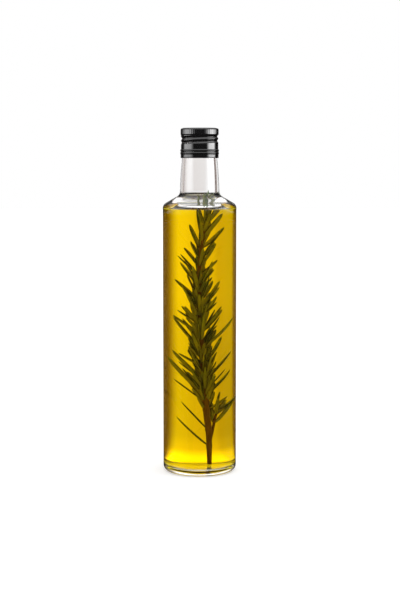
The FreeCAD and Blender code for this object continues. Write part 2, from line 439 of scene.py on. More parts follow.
@dataclass(frozen=True)
class ClearMedium:
    """A clear glass or liquid, with the light that it swallows on the way."""

    name: str
    refraction: float
    skin: Skin = Skin.BARE
    swallowed: tuple[float, float, float] = (0.0, 0.0, 0.0)
    density: float = 300.0
    surface: float = 0.0

    def mirror(self, sheet: NodeSheet) -> Term:
        """The strength of its own mirror image, which is none where it touches another clear medium.

        Args:
            sheet: The sheet of the material.

        Returns:
            A colour, or the output of a node that gives one.
        """
        if self.skin is Skin.WETTED:
            return grey(0.0)
        if self.skin is Skin.BARE:
            return grey(1.0)
        open_air = sheet.reckon("GREATER_THAN", sheet.parts(sheet.place())[2], self.surface)
        return sheet.blend(open_air, grey(0.0), grey(1.0))

    def material(self) -> bpy.types.Material:
        """Build the material.

        Returns:
            A Principled glass with absorption in its volume.
        """
        material, sheet = new_material(self.name)
        shader = sheet.principled(
            Base_Color=grey(1.0),
            Roughness=0.0,
            IOR=self.refraction,
            Transmission_Weight=1.0,
            Specular_Tint=self.mirror(sheet),
        )
        output = sheet.show(shader.outputs["BSDF"])
        if any(self.swallowed):
            left = [1.0 - loss / self.density for loss in self.swallowed]
            feeds = {"Color": (*left, 1.0), "Density": self.density}
            volume = sheet.add("ShaderNodeVolumeAbsorption", feeds)
            sheet.join(volume.outputs["Volume"], output.inputs["Volume"])
        return material


@dataclass(frozen=True)
class BlackLacquer:
    """Black lacquer on thin rolled aluminium, a little uneven in its shine."""

    name: str = "black_lacquer"
    tone: Colour = (0.002, 0.002, 0.0023, 1.0)
    refraction: float = 1.9
    smoothest: float = 0.06
    roughest: float = 0.13
    coat_roughness: float = 0.04
    haze: float = 900.0

    def material(self) -> bpy.types.Material:
        """Build the material.

        Returns:
            A coated black whose roughness drifts.
        """
        material, sheet = new_material(self.name)
        haze = sheet.noise(sheet.place(), self.haze, 3.0)
        feeds = {"Value": haze, "To Min": self.smoothest, "To Max": self.roughest}
        rough = sheet.add("ShaderNodeMapRange", feeds)
        shader = sheet.principled(
            Base_Color=self.tone,
            Roughness=rough.outputs[0],
            IOR=self.refraction,
            Coat_Weight=1.0,
            Coat_Roughness=self.coat_roughness,
        )
        sheet.show(shader.outputs["BSDF"])
        return material


@dataclass(frozen=True)
class InnerLacquer:
    """The pale lacquer on the inside of the cap."""

    name: str = "inner_lacquer"
    tone: Colour = (0.92, 0.91, 0.88, 1.0)
    roughness: float = 0.5

    def material(self) -> bpy.types.Material:
        """Build the material.

        Returns:
            A plain, half matt finish.
        """
        material, sheet = new_material(self.name)
        shader = sheet.principled(Base_Color=self.tone, Roughness=self.roughness)
        sheet.show(shader.outputs["BSDF"])
        return material


@dataclass(frozen=True)
class LeafSkin:
    """A needle leaf: olive or green with a painted pale highlight down its middle and painted shade along
    its edges, brown at its foot, felted below.
    """

    name: str = "rosemary_leaf"
    olive: ColourPair = ((0.24, 0.27, 0.05, 1.0), (0.58, 0.60, 0.16, 1.0))
    fresh: ColourPair = ((0.08, 0.16, 0.05, 1.0), (0.22, 0.36, 0.13, 1.0))
    felt: ColourPair = ((0.32, 0.37, 0.19, 1.0), (0.52, 0.56, 0.32, 1.0))
    # painted highlight: a pale streak down the middle of the leaf's top
    painted_glint: Colour = (0.88, 0.92, 0.55, 1.0)
    # painted shade along the rolled edges, on the top and on the felted underside
    edge: Colour = (0.020, 0.032, 0.010, 1.0)
    painted_felt_shade: Colour = (0.05, 0.07, 0.02, 1.0)
    foot: Colour = (0.16, 0.12, 0.04, 1.0)
    mottle: float = 260.0
    mottle_detail: float = 4.0
    drift: float = 75.0
    hairs: float = 2200.0
    fresh_patches: Point = (0.40, 0.62)
    # how far the painted highlight reaches from the middle, and how strong it is
    painted_glint_reach: Point = (0.34, 0.12)
    painted_glint_share: float = 0.55
    # how far in the painted edge shade reaches, and how strong it is on the top and below
    painted_shade_reach: Point = (0.62, 0.95)
    painted_shade_share: float = 0.8
    painted_felt_shade_share: float = 0.7
    foot_reach: Point = (0.22, 0.0)
    roughness: float = 0.38
    felt_roughness: float = 0.45
    hair_strength: float = 0.35
    hair_depth: float = 0.0002

    def material(self) -> bpy.types.Material:
        """Build the material.

        Returns:
            A leaf colour that follows the marks "aside", "along" and "underside" of the mesh.
        """
        material, sheet = new_material(self.name)
        place = sheet.place()
        below, aside = sheet.mark("underside"), sheet.mark("aside")
        mottle = sheet.noise(place, self.mottle, self.mottle_detail)
        drift = sheet.ease(sheet.noise(place, self.drift, 1.0), *self.fresh_patches)
        green = sheet.blend(drift, sheet.blend(mottle, *self.olive), sheet.blend(mottle, *self.fresh))
        # painted highlight: a pale streak down the middle of the top
        painted_glint = sheet.times(sheet.ease(aside, *self.painted_glint_reach), self.painted_glint_share)
        green = sheet.blend(painted_glint, green, self.painted_glint)
        # painted shade along the rolled edges, on the top and on the felted underside
        edge = sheet.ease(aside, *self.painted_shade_reach)
        green = sheet.blend(sheet.times(edge, self.painted_shade_share), green, self.edge)
        top = sheet.blend(sheet.ease(sheet.mark("along"), *self.foot_reach), green, self.foot)
        felt = sheet.blend(mottle, *self.felt)
        felt = sheet.blend(sheet.times(edge, self.painted_felt_shade_share), felt, self.painted_felt_shade)
        shader = sheet.principled(
            Base_Color=sheet.blend(below, top, felt),
            Roughness=sheet.shifted(below, self.felt_roughness, self.roughness),
            Normal=sheet.grain(sheet.noise(place, self.hairs), self.hair_strength, self.hair_depth),
        )
        sheet.show(shader.outputs["BSDF"])
        return material


@dataclass(frozen=True)
class Bark:
    """The sprig's stem: brown and woody, with fine ridges along it."""

    name: str = "rosemary_bark"
    tones: ColourPair = ((0.09, 0.042, 0.02, 1.0), (0.34, 0.19, 0.09, 1.0))
    fibres: float = 1100.0
    fibre_detail: float = 5.0
    stretch: float = 0.16
    roughness: float = 0.6
    strength: float = 0.6
    depth: float = 0.0003

    def material(self) -> bpy.types.Material:
        """Build the material.

        Returns:
            A brown with fibres that run upwards.
        """
        material, sheet = new_material(self.name)
        feeds = {"Scale": (1.0, 1.0, self.stretch), "Vector": sheet.place()}
        drawn_out = sheet.add("ShaderNodeMapping", feeds)
        fibre = sheet.noise(drawn_out.outputs[0], self.fibres, self.fibre_detail)
        shader = sheet.principled(
            Base_Color=sheet.blend(fibre, *self.tones),
            Roughness=self.roughness,
            Normal=sheet.grain(fibre, self.strength, self.depth),
        )
        sheet.show(shader.outputs["BSDF"])
        return material


# ---------------------------------------------------------------------------------------------------
# Geometry trees
# ---------------------------------------------------------------------------------------------------


class ShapeTree:
    """A Geometry Nodes tree that is built in the script and worked into a plain mesh."""

    def __init__(self, name: str, sizes: dict[str, str]) -> None:
        """Start the tree.

        Args:
            name: Its name.
            sizes: Socket kinds by input name.
        """
        self.tree = bpy.data.node_groups.new(name, "GeometryNodeTree")
        self.tree.is_modifier = True
        self.sheet = NodeSheet(self.tree)
        self.tree.interface.new_socket("Geometry", in_out="INPUT", socket_type="NodeSocketGeometry")
        self.tree.interface.new_socket("Geometry", in_out="OUTPUT", socket_type="NodeSocketGeometry")
        for title, kind in sizes.items():
            self.tree.interface.new_socket(title, in_out="INPUT", socket_type=kind)
        self.entry = self.sheet.add("NodeGroupInput")
        self.result = self.sheet.add("NodeGroupOutput")

    def size(self, title: str) -> bpy.types.NodeSocket:
        """The tree's own input of a name."""
        return self.entry.outputs[title]

    def close(self, shape: bpy.types.NodeSocket, finish: bpy.types.NodeSocket) -> None:
        """End the tree in real geometry with one finish.

        Args:
            shape: The geometry.
            finish: The material.
        """
        real = self.sheet.add("GeometryNodeRealizeInstances", {0: shape})
        feeds = {"Geometry": real.outputs[0], "Material": finish}
        dressed = self.sheet.add("GeometryNodeSetMaterial", feeds)
        self.sheet.join(dressed.outputs[0], self.result.inputs[0])

    def work(self, thing: bpy.types.Object, **sizes: object) -> None:
        """Run the tree on an object and keep the result as its mesh.

        Args:
            thing: The object, whose own mesh is the tree's geometry.
            sizes: Values by input name, with _ for a space.
        """
        modifier = thing.modifiers.new("shape", "NODES")
        modifier.node_group = self.tree
        for item in self.tree.interface.items_tree:
            title = item.name.replace(" ", "_")
            if item.in_out == "INPUT" and title in sizes:
                modifier[item.identifier] = sizes[title]
        sight = bpy.context.evaluated_depsgraph_get()
        mesh = bpy.data.meshes.new_from_object(thing.evaluated_get(sight), depsgraph=sight)
        mesh.name = thing.name
        thing.modifiers.remove(modifier)
        thing.data = mesh


# ---------------------------------------------------------------------------------------------------
# The bottle
# ---------------------------------------------------------------------------------------------------


@dataclass
class GlassBottle:
    """The clear bottle: its sizes in millimetres, its outside and the room inside it."""

    height: float = 284.5
    body_radius: float = 30.5
    body_wall: float = 3.3
    heel_round: float = 5.0
    standing_ring: float = 3.6
    punt_flank: float = 4.5
    punt_rise: float = 3.2
    punt_crown: float = 0.8
    punt_round: float = 3.0
    ring_round: float = 1.2
    base_wall: float = 2.0
    floor_drop: float = 1.6
    floor_round: float = 6.0
    shoulder_depth: float = 61.3
    shoulder_rise: float = 8.2
    shoulder_round: float = 5.0
    shoulder_wall: float = 6.5
    shoulder_inner_round: float = 18.0
    finish_radius: float = 14.1
    finish_height: float = 16.0
    finish_wall: float = 3.5
    collar_proud: float = 0.9
    collar_height: float = 6.0
    collar_round: float = 0.6
    collar_foot_round: float = 0.5
    collar_head_round: float = 0.3
    lip_round: float = 1.2
    neck_step: float = 0.4
    neck_flare: float = 2.7
    neck_bow: float = 400.0
    neck_top_wall: float = 2.3
    neck_foot_wall: float = 3.5
    neck_foot_round: float = 4.5
    neck_inner_round: float = 6.0
    neck_steps: int = 8
    bore_round: float = 3.0
    headspace: float = 65.0
    knurl_depth: float = 0.3
    knurl_reach: float = 0.6
    knurl_margin: float = 1.6
    inner_margin: float = 0.3
    floor_margin: float = 0.5
    refraction: float = 1.52
    columns: int = 192
    longest_step: float = 4.0

    @property
    def oil_level(self) -> float:
        """Height of the oil's surface."""
        return self.height - self.headspace

    @property
    def collar_foot(self) -> float:
        """Height of the underside of the collar."""
        return self.height - self.finish_height

    @property
    def neck_top(self) -> float:
        """Radius of the neck under the collar."""
        return self.finish_radius - self.neck_step

    @property
    def neck_foot(self) -> float:
        """Radius of the neck where it meets the shoulder."""
        return self.neck_top + self.neck_flare

    @property
    def shoulder_height(self) -> float:
        """Height of the corner between body and shoulder."""
        return self.height - self.shoulder_depth

    @property
    def slope(self) -> float:
        """Rise of the shoulder for each millimetre inwards."""
        return self.shoulder_rise / (self.body_radius - self.neck_foot)

    @property
    def shoulder_fall(self) -> float:
        """Upright thickness of the shoulder's wall."""
        return self.shoulder_wall * math.hypot(1.0, self.slope)

    def outside(self) -> list[Point]:
        """The outside from the middle of the punt round to the lip's bore.

        Returns:
            Points in metres as (radius, height).
        """
        ring = self.body_radius - self.heel_round - self.standing_ring
        roof = ring - self.punt_flank
        collar_head = self.collar_foot + self.collar_height
        collar = self.finish_radius + self.collar_proud
        bore = self.finish_radius - self.finish_wall
        neck_start = (self.neck_foot, self.shoulder_height + self.shoulder_rise)
        neck_end = (self.neck_top, self.collar_foot)
        corners = [
            Corner(0.0, self.punt_rise + self.punt_crown),
            Corner(roof, self.punt_rise, self.punt_round),
            Corner(ring, 0.0, self.ring_round),
            Corner(self.body_radius, 0.0, self.heel_round),
            Corner(self.body_radius, self.shoulder_height, self.shoulder_round),
            Corner(*neck_start, self.neck_foot_round),
            *bowed(neck_start, neck_end, self.neck_bow, self.neck_steps),
            Corner(*neck_end, self.collar_foot_round),
            Corner(collar, self.collar_foot, self.collar_round),
            Corner(collar, collar_head, self.collar_round),
            Corner(self.finish_radius, collar_head, self.collar_head_round),
            Corner(self.finish_radius, self.height, self.lip_round),
            Corner(bore, self.height),
        ]
        return rounded_outline(corners)

    def cavity(self) -> list[Point]:
        """The inside from the middle of the floor up to the lip's bore.

        Returns:
            Points in metres as (radius, height).
        """
        floor = self.punt_rise + self.punt_crown + self.base_wall
        inner = self.body_radius - self.body_wall
        bore = self.finish_radius - self.finish_wall
        foot = self.neck_foot - self.neck_foot_wall
        top = self.neck_top - self.neck_top_wall
        eaves = self.shoulder_height + self.slope * self.body_wall - self.shoulder_fall
        throat = self.shoulder_height + self.shoulder_rise + self.slope * self.neck_foot_wall
        throat -= self.shoulder_fall
        corners = [
            Corner(0.0, floor),
            Corner(inner, floor - self.floor_drop, self.floor_round),
            Corner(inner, eaves, self.shoulder_inner_round),
            Corner(foot, throat, self.neck_inner_round),
            *bowed((foot, throat), (top, self.collar_foot), self.neck_bow, self.neck_steps),
            Corner(top, self.collar_foot, self.bore_round),
            Corner(bore, self.collar_foot + self.collar_height, self.bore_round),
            Corner(bore, self.height),
        ]
        return rounded_outline(corners)

    def knurl(self, angle: float, radius: float, height: float) -> Point:
        """Notch the ring that the bottle stands on, so that it touches the table in short ribs.

        Args:
            angle: Where the point is round the bottle.
            radius: Its radius.
            height: Its height.

        Returns:
            Its radius and its new height.
        """
        outer = self.body_radius - self.heel_round + self.knurl_margin
        inner = outer - self.standing_ring - self.knurl_margin
        if not inner * MM < radius < outer * MM or height > self.knurl_reach * MM:
            return radius, height
        notch = 0.5 - 0.5 * math.cos(angle * self.columns / 2)
        fade = 1.0 - height / (self.knurl_reach * MM)
        return radius, height + notch * fade * self.knurl_depth * MM

    def wet(self, mesh: bpy.types.Mesh) -> None:
        """Give the part of the inner wall that the oil covers its own finish.

        Args:
            mesh: The bottle's mesh.
        """
        roof = self.punt_rise + self.punt_crown + self.floor_margin
        wall = self.body_radius - self.body_wall + self.inner_margin
        for face in mesh.polygons:
            middle = face.center / MM
            covered = roof < middle.z < self.oil_level and math.hypot(middle.x, middle.y) < wall
            face.material_index = 1 if covered else 0

    def build(self) -> bpy.types.Object:
        """Turn the bottle, dress it and put it in place of its solid.

        Returns:
            The bottle.
        """
        step = self.longest_step * MM
        outside = spread_points(self.outside(), step)
        cavity = spread_points(self.cavity(), step)
        bottle = turned_mesh("clear_bottle", outside + cavity[::-1][1:], self.columns, self.knurl)
        for name, skin in (("clear_glass", Skin.BARE), ("wetted_glass", Skin.WETTED)):
            bottle.data.materials.append(ClearMedium(name, self.refraction, skin).material())
        self.wet(bottle.data)
        settle(bottle, "clear_glass", "glass_bottle")
        return bottle


@dataclass
class Oil:
    """The oil, which reaches a hair into the wall that holds it, so that no air shows between them."""

    bottle: GlassBottle
    seat: float = 0.15
    meniscus: float = 1.1
    meniscus_reach: float = 4.4
    meniscus_steps: int = 12
    meniscus_crowding: float = 1.6
    refraction: float = 1.47
    swallowed: tuple[float, float, float] = (0.8, 10.0, 260.0)
    skin_depth: float = 0.05
    columns: int = 192

    def against_wall(self) -> list[Point]:
        """The oil's outline from the middle of the floor up the wall to the head of the meniscus.

        Returns:
            Points in metres as (radius, height).
        """
        wall = spread_points(self.bottle.cavity(), self.bottle.longest_step * MM)
        head = self.bottle.oil_level * MM + self.meniscus * MM
        reach = self.seat * MM
        points: list[Point] = []
        for index, (radius, height) in enumerate(wall):
            before = wall[max(index - 1, 0)]
            after = wall[min(index + 1, len(wall) - 1)]
            way = Vector((after[0] - before[0], after[1] - before[1])).normalized()
            spot = (radius + way.y * reach, height - way.x * reach) if radius > 0 else (0.0, height - reach)
            if spot[1] >= head:
                share = (head - points[-1][1]) / (spot[1] - points[-1][1])
                points.append((points[-1][0] + (spot[0] - points[-1][0]) * share, head))
                break
            points.append(spot)
        return points

    def outline(self) -> list[Point]:
        """The oil's outline from the middle of the floor round to the middle of its surface.

        Returns:
            Points in metres as (radius, height).
        """
        points = self.against_wall()
        edge = points[-1][0]
        level, rise = self.bottle.oil_level * MM, self.meniscus * MM
        for step in range(1, self.meniscus_steps + 1):
            share = (step / self.meniscus_steps) ** self.meniscus_crowding
            inward = share * self.meniscus_reach * MM
            points.append((edge - inward, level + rise * math.exp(-inward / rise)))
        return points + [(edge * share, level) for share in (0.5, 0.25, 0.0)]

    def build(self) -> bpy.types.Object:
        """Turn the oil, dress it and put it in place of its solid.

        Returns:
            The oil.
        """
        oil = turned_mesh("golden_oil", self.outline(), self.columns)
        finish = ClearMedium(
            name="golden_oil",
            refraction=self.refraction,
            skin=Skin.WETTED_BELOW,
            swallowed=self.swallowed,
            surface=(self.bottle.oil_level - self.skin_depth) * MM,
        )
        oil.data.materials.append(finish.material())
        settle(oil, "golden_oil", "oil")
        return oil


@dataclass
class RolledCap:
    """The rolled-on cap: a thin shell with a fluted roll, a rolled thread, two beads and a tear line."""

    head: float = 286.3
    rim: float = 261.6
    seat: float = 274.6
    lip: float = 284.5
    bore: float = 15.1
    throat: float = 14.2
    radius: float = 15.4
    skirt: float = 15.65
    roll: float = 15.7
    roll_foot: float = 281.0
    edge_round: float = 1.7
    bead_proud: float = 0.35
    bead_width: float = 1.8
    beads: Point = (265.6, 267.9)
    roll_foot_round: float = 1.3
    roll_fall: float = 0.7
    step_round: float = 0.4
    bead_round: float = 0.2
    bead_steps: int = 7
    rim_round: float = 0.25
    inner_round: float = 0.2
    crown_round: float = 0.5
    flutes: int = 60
    flute_depth: float = 0.08
    flute_sharpness: float = 1.6
    flute_foot: Point = (-0.2, 0.7)
    flute_head: Point = (-0.4, -1.3)
    thread_depth: float = 0.85
    thread_width: float = 3.3
    thread_pitch: float = 3.5
    thread_start: float = 274.1
    slit_width: float = 0.5
    slit_depth: float = 0.4
    bridges: int = 10
    bridge_share: float = 0.16
    thread_ends: tuple[Point, Point] = ((-0.2, -0.05), (1.68, 1.52))
    kept_skin: float = 0.12
    facing_in: float = 0.5
    facing_down: float = 0.7
    rim_margin: float = 1.0
    top_margin: float = 0.3
    bore_margin: float = 0.05
    step: float = 0.24
    hidden_step: float = 2.0
    columns: int = 540

    def outline(self) -> list[Point]:
        """The shell's outline from the middle of its underside round to the middle of the top.

        Returns:
            Points in metres as (radius, height).
        """
        corners = [
            Corner(0.0, self.head),
            Corner(self.roll, self.head, self.edge_round),
            Corner(self.roll, self.roll_foot, self.roll_foot_round),
            Corner(self.radius, self.roll_foot - self.roll_fall, self.step_round),
        ]
        for middle in reversed(self.beads):
            foot = self.radius if middle == max(self.beads) else self.skirt
            top, low = middle + self.bead_width / 2, middle - self.bead_width / 2
            proud = self.skirt + self.bead_proud - foot
            bow = self.bead_width**2 / 8 / proud + proud / 2
            arc = bowed((foot, low), (foot, top), bow, self.bead_steps)
            corners += [Corner(foot, top, self.bead_round), *arc[::-1], Corner(self.skirt, low)]
        corners += [
            Corner(self.skirt, self.rim, self.rim_round),
            Corner(self.bore, self.rim, self.inner_round),
            Corner(self.bore, self.seat, self.inner_round),
            Corner(self.throat, self.seat, self.inner_round),
            Corner(self.throat, self.lip, self.crown_round),
            Corner(0.0, self.lip),
        ]
        return rounded_outline(corners)[::-1]

    def flutes_cut(self, tree: ShapeTree, angle: Term, up: Term) -> Term:
        """How deep the flutes of the roll go at a point.

        Args:
            tree: The tree of the relief.
            angle: Where the point is round the cap.
            up: Its height.

        Returns:
            The depth.
        """
        sheet = tree.sheet
        wave = sheet.reckon("COSINE", sheet.times(angle, tree.size("Flutes")))
        scallop = sheet.reckon("POWER", sheet.shifted(wave, 0.5, 0.5), self.flute_sharpness)
        over_foot = sheet.ease(up, *((self.roll_foot + part) * MM for part in self.flute_foot))
        under_head = sheet.ease(up, *((self.head + part) * MM for part in self.flute_head))
        return sheet.times(scallop, over_foot, under_head, tree.size("Flute Depth"))

    def thread_cut(self, tree: ShapeTree, turn: Term, up: Term) -> Term:
        """How deep the rolled thread goes at a point, as a groove that climbs round the cap.

        Args:
            tree: The tree of the relief.
            turn: Where the point is round the cap, as a share of a turn.
            up: Its height.

        Returns:
            The depth.
        """
        sheet, size = tree.sheet, tree.size
        above = sheet.reckon("SUBTRACT", up, size("Thread Start"))
        above = sheet.reckon("DIVIDE", above, size("Thread Pitch"))
        lap = sheet.reckon("ROUND", sheet.reckon("SUBTRACT", above, turn))
        lap = sheet.reckon("MINIMUM", sheet.reckon("MAXIMUM", lap, -1.0), 1.0)
        way = sheet.reckon("ADD", turn, lap)
        half = sheet.reckon("DIVIDE", sheet.times(size("Thread Width"), 0.5), size("Thread Pitch"))
        off = sheet.reckon("DIVIDE", sheet.reckon("SUBTRACT", above, way), half)
        near = sheet.reckon("MINIMUM", sheet.reckon("ABSOLUTE", off), 1.0)
        valley = sheet.shifted(sheet.reckon("COSINE", sheet.times(near, math.pi)), 0.5, 0.5)
        fade_in, fade_out = self.thread_ends
        run = sheet.times(sheet.ease(way, *fade_in), sheet.ease(way, *fade_out))
        return sheet.times(valley, run, size("Thread Depth"))

    def slit_cut(self, tree: ShapeTree, turn: Term, up: Term) -> Term:
        """How deep the tear line goes at a point, with bridges that are left standing.

        Args:
            tree: The tree of the relief.
            turn: Where the point is round the cap, as a share of a turn.
            up: Its height.

        Returns:
            The depth.
        """
        sheet, size = tree.sheet, tree.size
        aside = sheet.reckon("DIVIDE", sheet.reckon("SUBTRACT", up, size("Slit Height")), size("Slit Width"))
        level = sheet.reckon("GREATER_THAN", 0.5, sheet.reckon("ABSOLUTE", aside))
        share = sheet.reckon("FRACT", sheet.times(turn, size("Bridges")))
        return sheet.times(level, sheet.reckon("GREATER_THAN", share, self.bridge_share), size("Slit Depth"))

    def relief(self) -> ShapeTree:
        """The tree that rolls the flutes, the thread and the tear line into the shell.

        Returns:
            The tree.
        """
        titles = (
            *("Flutes", "Flute Depth", "Thread Start", "Thread Pitch", "Thread Width", "Thread Depth"),
            *("Slit Height", "Slit Width", "Slit Depth", "Bridges"),
        )
        kinds = {title: "NodeSocketFloat" for title in titles}
        tree = ShapeTree("rolled_relief", {**kinds, "Finish": "NodeSocketMaterial"})
        sheet = tree.sheet
        across, deep, up = sheet.parts(sheet.add("GeometryNodeInputPosition").outputs[0])
        squares = sheet.reckon("ADD", sheet.times(across, across), sheet.times(deep, deep))
        radius = sheet.reckon("SQRT", squares)
        angle = sheet.reckon("ARCTAN2", deep, across)
        turn = sheet.shifted(angle, 1.0 / math.tau, 0.5)
        outer = sheet.reckon("GREATER_THAN", radius, (self.bore + self.kept_skin) * MM)
        depth = sheet.reckon("ADD", self.flutes_cut(tree, angle, up), self.thread_cut(tree, turn, up))
        depth = sheet.times(sheet.reckon("ADD", depth, self.slit_cut(tree, turn, up)), outer)
        lost = sheet.reckon("DIVIDE", depth, sheet.reckon("MAXIMUM", radius, MM))
        rest = sheet.reckon("SUBTRACT", 1.0, lost)
        feeds = {0: sheet.times(across, rest), 1: sheet.times(deep, rest), 2: up}
        spot = sheet.add("ShaderNodeCombineXYZ", feeds).outputs[0]
        moved = sheet.add("GeometryNodeSetPosition", {"Geometry": tree.size("Geometry"), "Position": spot})
        tree.close(moved.outputs[0], tree.size("Finish"))
        return tree

    def build(self) -> bpy.types.Object:
        """Turn the cap, roll its relief, dress it and put it in place of its solid.

        Returns:
            The cap.
        """
        outline = spread_points(self.outline(), self.step * MM)
        cap = turned_mesh("rolled_cap", self.sparse(outline), self.columns)
        self.relief().work(
            cap,
            Flutes=float(self.flutes),
            Flute_Depth=self.flute_depth * MM,
            Thread_Start=self.thread_start * MM,
            Thread_Pitch=self.thread_pitch * MM,
            Thread_Width=self.thread_width * MM,
            Thread_Depth=self.thread_depth * MM,
            Slit_Height=sum(self.beads) / 2 * MM,
            Slit_Width=self.slit_width * MM,
            Slit_Depth=self.slit_depth * MM,
            Bridges=float(self.bridges),
            Finish=BlackLacquer().material(),
        )
        cap.data.materials.append(InnerLacquer().material())
        self.coat_inside(cap.data)
        settle(cap, "black_lacquered_cap", "screw_cap")
        return cap

    def coat_inside(self, mesh: bpy.types.Mesh) -> None:
        """Give the inside of the shell its pale inner lacquer.

        Args:
            mesh: The cap's mesh.
        """
        for face in mesh.polygons:
            middle, way = face.center, face.normal
            radius = math.hypot(middle.x, middle.y)
            inward = middle.x * way.x + middle.y * way.y < -self.facing_in * radius
            over_rim = middle.z > (self.rim + self.rim_margin) * MM
            if inward or (way.z < -self.facing_down and over_rim and radius < self.bore * MM):
                face.material_index = 1

    def sparse(self, outline: Sequence[Point]) -> list[Point]:
        """Thin out the outline's points where the shell is plain.

        Args:
            outline: The close outline.

        Returns:
            The outline with long steps on the flat top and on the hidden inner faces.
        """
        kept = [outline[0]]
        top = self.roll - self.edge_round - self.top_margin
        plain = max(top, self.bore + self.bore_margin) * MM
        for spot in outline[1:-1]:
            gap = math.hypot(spot[0] - kept[-1][0], spot[1] - kept[-1][1])
            if spot[0] >= plain or gap > self.hidden_step * MM:
                kept.append(spot)
        return kept + [outline[-1]]


class LeafForm(Enum):
    """The ways in which a needle leaf bends, each numbered in the order of its name."""

    ARCHED = 0
    HOOKED = 1
    STRAIGHT = 2
    SWEPT = 3
    TWISTED = 4


# Short names for the long table of the sprig's leaves.
ARCHED, HOOKED, STRAIGHT, SWEPT, TWISTED = LeafForm


@dataclass(frozen=True)
class NeedleLeaf:
    """One needle leaf of unit length, with its edges rolled under and a groove along its top."""

    form: LeafForm
    bend: float
    sway: float = 0.0
    twist: float = 0.0
    steps: int = 15
    crowding: float = 0.9
    foot_width: float = 0.45
    foot_length: float = 0.2
    foot_curve: float = 0.8
    tip_length: float = 0.5
    tip_curve: float = 2.2
    thinnest: float = 0.012
    half_top: tuple[Point, ...] = ((-1.0, -0.42), (-0.9, 0.06), (-0.55, 0.30), (-0.16, 0.26), (0.0, 0.10))
    below: tuple[Point, ...] = ((0.76, -0.62), (0.4, -0.30), (0.0, -0.46), (-0.4, -0.30), (-0.76, -0.62))

    def width(self, along: float) -> float:
        """Half the leaf's width at one place.

        Args:
            along: The place, as a share of the leaf's length.

        Returns:
            Half the width, as a share of the widest.
        """
        foot = min(1.0, along / self.foot_length) ** self.foot_curve
        foot = self.foot_width + (1.0 - self.foot_width) * foot
        past = max(0.0, (along - 1.0 + self.tip_length) / self.tip_length)
        tip = max(0.0, 1.0 - past**self.tip_curve)
        return 0.5 * foot * math.sqrt(tip)

    def build(self) -> bpy.types.Object:
        """Make the leaf, standing on its root and rising along +Z, with its top face towards +Y.

        Returns:
            The leaf as an object named for its form.
        """
        top = self.half_top + tuple((-x, y) for x, y in self.half_top[-2::-1])
        section = top + self.below
        vertices = []
        marks: dict[str, list[float]] = {"underside": [], "along": [], "aside": []}
        for step in range(self.steps + 1):
            along = (step / self.steps) ** self.crowding
            half = max(self.width(along), self.thinnest)
            turn = self.twist * along
            for index, (x, y) in enumerate(section):
                spot = Vector((x * half, y * half, 0.0))
                spot.rotate(Matrix.Rotation(turn, 3, "Z"))
                vertices.append((spot.x + self.sway * along**2, spot.y + self.bend * along**2, along))
                marks["underside"].append(float(index >= len(top)))
                marks["along"].append(along)
                marks["aside"].append(abs(x))
        count = len(section)
        faces = []
        for step in range(self.steps):
            for index in range(count):
                beside = (index + 1) % count
                low, high = step * count, (step + 1) * count
                faces.append((low + index, high + index, high + beside, low + beside))
        faces.append(tuple(range(count)))
        faces.append(tuple(self.steps * count + index for index in reversed(range(count))))
        leaf = mesh_object(f"leaf_{self.form.value}_{self.form.name.lower()}", vertices, faces)
        for title, values in marks.items():
            leaf.data.attributes.new(title, "FLOAT", "POINT").data.foreach_set("value", values)
        return leaf


@dataclass(frozen=True)
class Leaf:
    """A leaf's length in millimetres, the angle at which it leaves the stem, and its form."""

    length: float
    opening: float
    form: LeafForm = LeafForm.STRAIGHT
    width: float = 2.7


@dataclass(frozen=True)
class Node:
    """A joint of the stem: its height, the turn of its pair of leaves, and the young ones in each axil."""

    height: float
    turn: float
    right: Leaf | None = None
    left: Leaf | None = None
    tuft: int = 0


def smooth_way(points: Sequence[Sequence[float]], steps: int) -> list[Vector]:
    """Points along a smooth curve through given points.

    Args:
        points: The given points.
        steps: Steps from each given point to the next.

    Returns:
        The points of the curve.
    """
    spots = [Vector(point) for point in points]
    spots = [spots[0] * 2 - spots[1], *spots, spots[-1] * 2 - spots[-2]]
    way = []
    for before, start, end, after in zip(spots, spots[1:], spots[2:], spots[3:]):
        for step in range(steps):
            t = step / steps
            way.append(
                0.5
                * (
                    2.0 * start
                    + (end - before) * t
                    + (2.0 * before - 5.0 * start + 4.0 * end - after) * t**2
                    + (3.0 * start - before - 3.0 * end + after) * t**3
                )
            )
    return [*way, spots[-2]]


